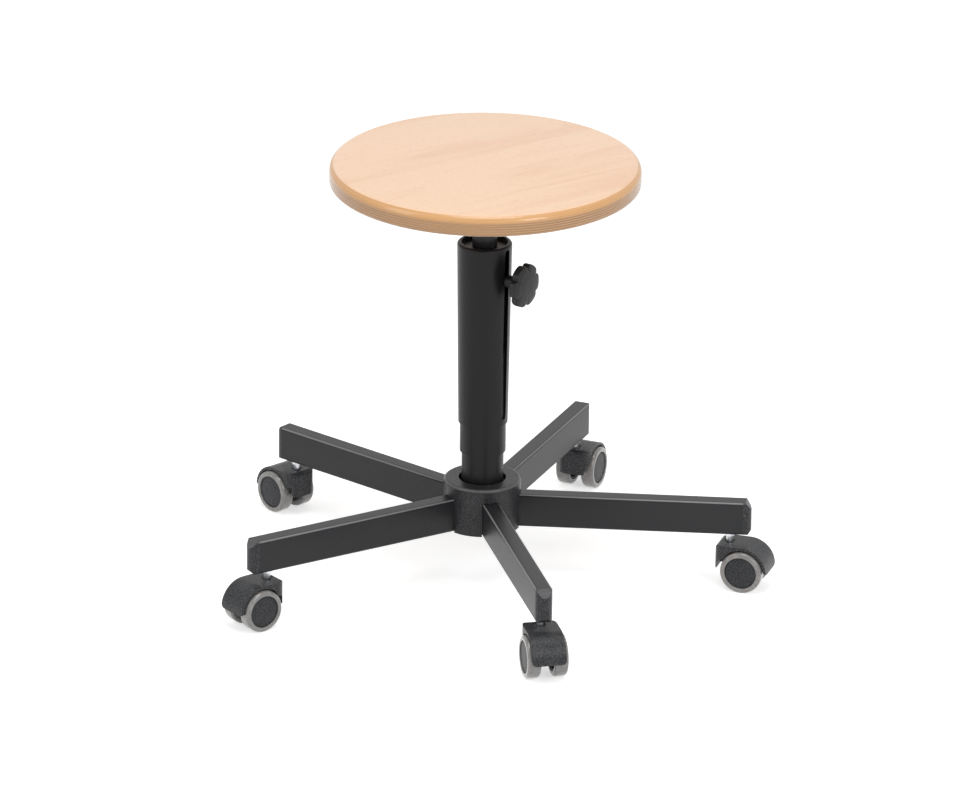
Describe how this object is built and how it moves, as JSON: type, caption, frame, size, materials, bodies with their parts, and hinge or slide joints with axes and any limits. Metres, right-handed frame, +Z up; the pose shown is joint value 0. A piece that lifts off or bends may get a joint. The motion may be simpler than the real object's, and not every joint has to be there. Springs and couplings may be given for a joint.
{
  "type": "height-adjustable workshop stool",
  "caption": "Round plywood swivel seat on a hand-clamped telescopic column with a star base of rectangular tube legs on twin-wheel castors.",
  "frame": {"origin": "on the floor, on the axis of the column", "axes": "+Z up along the column, +X along leg 1, legs counted counter-clockwise from above"},
  "size_m": [0.6281, 0.6588, 0.5115],
  "materials": {
    "seat_wood": "clear lacquered beech plywood",
    "sleeve_plastic": "black, satin",
    "knob_plastic": "black, fine grained",
    "hub_plastic": "dark grey, grained",
    "cap_plastic": "black, grained",
    "leg_steel": "black powder coat",
    "castor_nylon": "black, grained",
    "wheel_nylon": "black, grained",
    "tread_grey": "soft grey, shiny",
    "zinc_steel": "bright zinc plate",
    "post_steel": "black, smooth",
    "inner_steel": "plain drawn steel",
    "guide_plastic": "natural white acetal",
    "insert_brass": "plain"
  },
  "bodies": {
    "base": {"hub_core": "leg_steel", "hub_cover": "hub_plastic", "leg_caps": "cap_plastic", "castor_sockets": "guide_plastic", "castor_stems": "zinc_steel", "standpipe": "inner_steel", "pipe_bush": "guide_plastic", "clamp_boss": "inner_steel", "lower_sleeve": "sleeve_plastic", "leg_tube_1": "leg_steel", "leg_tube_2": "leg_steel", "leg_tube_3": "leg_steel", "leg_tube_4": "leg_steel", "leg_tube_5": "leg_steel"},
    "middle_sleeve": {"middle_sleeve": "sleeve_plastic"},
    "post": {"seat_post": "post_steel", "spindle_bush": "guide_plastic", "thrust_washer": "guide_plastic", "post_ring": "guide_plastic", "sleeve_collar": "inner_steel", "upper_sleeve": "sleeve_plastic"},
    "seat": {"seat_board": "seat_wood", "seat_plate": "leg_steel", "seat_inserts": "insert_brass", "seat_screws": "zinc_steel", "spindle": "inner_steel", "spindle_circlip": "zinc_steel"},
    "clamp_pad": {"clamp_pad": "guide_plastic"},
    "knob": {"knob": "knob_plastic", "knob_stud": "zinc_steel"},
    "castor_1": {"castor_1_hood": "castor_nylon", "castor_1_axle": "zinc_steel"},
    "wheel_1_left": {"castor_1_core_left": "wheel_nylon", "castor_1_tread_left": "tread_grey"},
    "wheel_1_right": {"castor_1_core_right": "wheel_nylon", "castor_1_tread_right": "tread_grey"},
    "castor_2": {"castor_2_hood": "castor_nylon", "castor_2_axle": "zinc_steel"},
    "wheel_2_left": {"castor_2_core_left": "wheel_nylon", "castor_2_tread_left": "tread_grey"},
    "wheel_2_right": {"castor_2_core_right": "wheel_nylon", "castor_2_tread_right": "tread_grey"},
    "castor_3": {"castor_3_hood": "castor_nylon", "castor_3_axle": "zinc_steel"},
    "wheel_3_left": {"castor_3_core_left": "wheel_nylon", "castor_3_tread_left": "tread_grey"},
    "wheel_3_right": {"castor_3_core_right": "wheel_nylon", "castor_3_tread_right": "tread_grey"},
    "castor_4": {"castor_4_hood": "castor_nylon", "castor_4_axle": "zinc_steel"},
    "wheel_4_left": {"castor_4_core_left": "wheel_nylon", "castor_4_tread_left": "tread_grey"},
    "wheel_4_right": {"castor_4_core_right": "wheel_nylon", "castor_4_tread_right": "tread_grey"},
    "castor_5": {"castor_5_hood": "castor_nylon", "castor_5_axle": "zinc_steel"},
    "wheel_5_left": {"castor_5_core_left": "wheel_nylon", "castor_5_tread_left": "tread_grey"},
    "wheel_5_right": {"castor_5_core_right": "wheel_nylon", "castor_5_tread_right": "tread_grey"}
  },
  "joints": [
    {"name": "seat_lift", "type": "slide", "parent": "base", "child": "post", "axis": [0, 0, 1], "range_m": [0, 0.15]},
    {"name": "middle_sleeve_lift", "type": "slide", "parent": "base", "child": "middle_sleeve", "axis": [0, 0, 1], "range_m": [0, 0.075]},
    {"name": "seat_swivel", "type": "hinge", "parent": "post", "child": "seat", "pos_m": [0, 0, 0.46], "axis": [0, 0, 1], "continuous": true},
    {"name": "clamp_pad_slide", "type": "slide", "parent": "base", "child": "clamp_pad", "axis": [0.8746, -0.4848, 0], "range_m": [0, 0.0025]},
    {"name": "knob_turn", "type": "hinge", "parent": "clamp_pad", "child": "knob", "pos_m": [0.04373, -0.02424, 0.3731], "axis": [0.8746, -0.4848, 0], "range_deg": [0, 720]},
    {"name": "castor_1_swivel", "type": "hinge", "parent": "base", "child": "castor_1", "pos_m": [0.29, 0, 0.06], "axis": [0, 0, 1], "continuous": true},
    {"name": "wheel_1_left_spin", "type": "hinge", "parent": "castor_1", "child": "wheel_1_left", "pos_m": [0.30949, -0.0045, 0.025], "axis": [0.225, 0.9744, 0], "continuous": true},
    {"name": "wheel_1_right_spin", "type": "hinge", "parent": "castor_1", "child": "wheel_1_right", "pos_m": [0.30949, -0.0045, 0.025], "axis": [0.225, 0.9744, 0], "continuous": true},
    {"name": "castor_2_swivel", "type": "hinge", "parent": "base", "child": "castor_2", "pos_m": [0.08961, 0.27581, 0.06], "axis": [0, 0, 1], "continuous": true},
    {"name": "wheel_2_left_spin", "type": "hinge", "parent": "castor_2", "child": "wheel_2_left", "pos_m": [0.0958, 0.29483, 0.025], "axis": [-0.9511, 0.309, 0], "continuous": true},
    {"name": "wheel_2_right_spin", "type": "hinge", "parent": "castor_2", "child": "wheel_2_right", "pos_m": [0.0958, 0.29483, 0.025], "axis": [-0.9511, 0.309, 0], "continuous": true},
    {"name": "castor_3_swivel", "type": "hinge", "parent": "base", "child": "castor_3", "pos_m": [-0.23461, 0.17046, 0.06], "axis": [0, 0, 1], "continuous": true},
    {"name": "wheel_3_left_spin", "type": "hinge", "parent": "castor_3", "child": "wheel_3_left", "pos_m": [-0.249, 0.18435, 0.025], "axis": [-0.6947, -0.7193, 0], "continuous": true},
    {"name": "wheel_3_right_spin", "type": "hinge", "parent": "castor_3", "child": "wheel_3_right", "pos_m": [-0.249, 0.18435, 0.025], "axis": [-0.6947, -0.7193, 0], "continuous": true},
    {"name": "castor_4_swivel", "type": "hinge", "parent": "base", "child": "castor_4", "pos_m": [-0.23461, -0.17046, 0.06], "axis": [0, 0, 1], "continuous": true},
    {"name": "wheel_4_left_spin", "type": "hinge", "parent": "castor_4", "child": "wheel_4_left", "pos_m": [-0.24948, -0.18384, 0.025], "axis": [0.6691, -0.7431, 0], "continuous": true},
    {"name": "wheel_4_right_spin", "type": "hinge", "parent": "castor_4", "child": "wheel_4_right", "pos_m": [-0.24948, -0.18384, 0.025], "axis": [0.6691, -0.7431, 0], "continuous": true},
    {"name": "castor_5_swivel", "type": "hinge", "parent": "base", "child": "castor_5", "pos_m": [0.08961, -0.27581, 0.06], "axis": [0, 0, 1], "continuous": true},
    {"name": "wheel_5_left_spin", "type": "hinge", "parent": "castor_5", "child": "wheel_5_left", "pos_m": [0.0958, -0.29483, 0.025], "axis": [0.9511, 0.309, 0], "continuous": true},
    {"name": "wheel_5_right_spin", "type": "hinge", "parent": "castor_5", "child": "wheel_5_right", "pos_m": [0.0958, -0.29483, 0.025], "axis": [0.9511, 0.309, 0], "continuous": true}
  ],
  "couplings": [
    {"joint": "middle_sleeve_lift", "follows": "seat_lift", "ratio": 0.5},
    {"joint": "clamp_pad_slide", "follows": "knob_turn", "m_per_rad": 0.00019894}
  ]
}
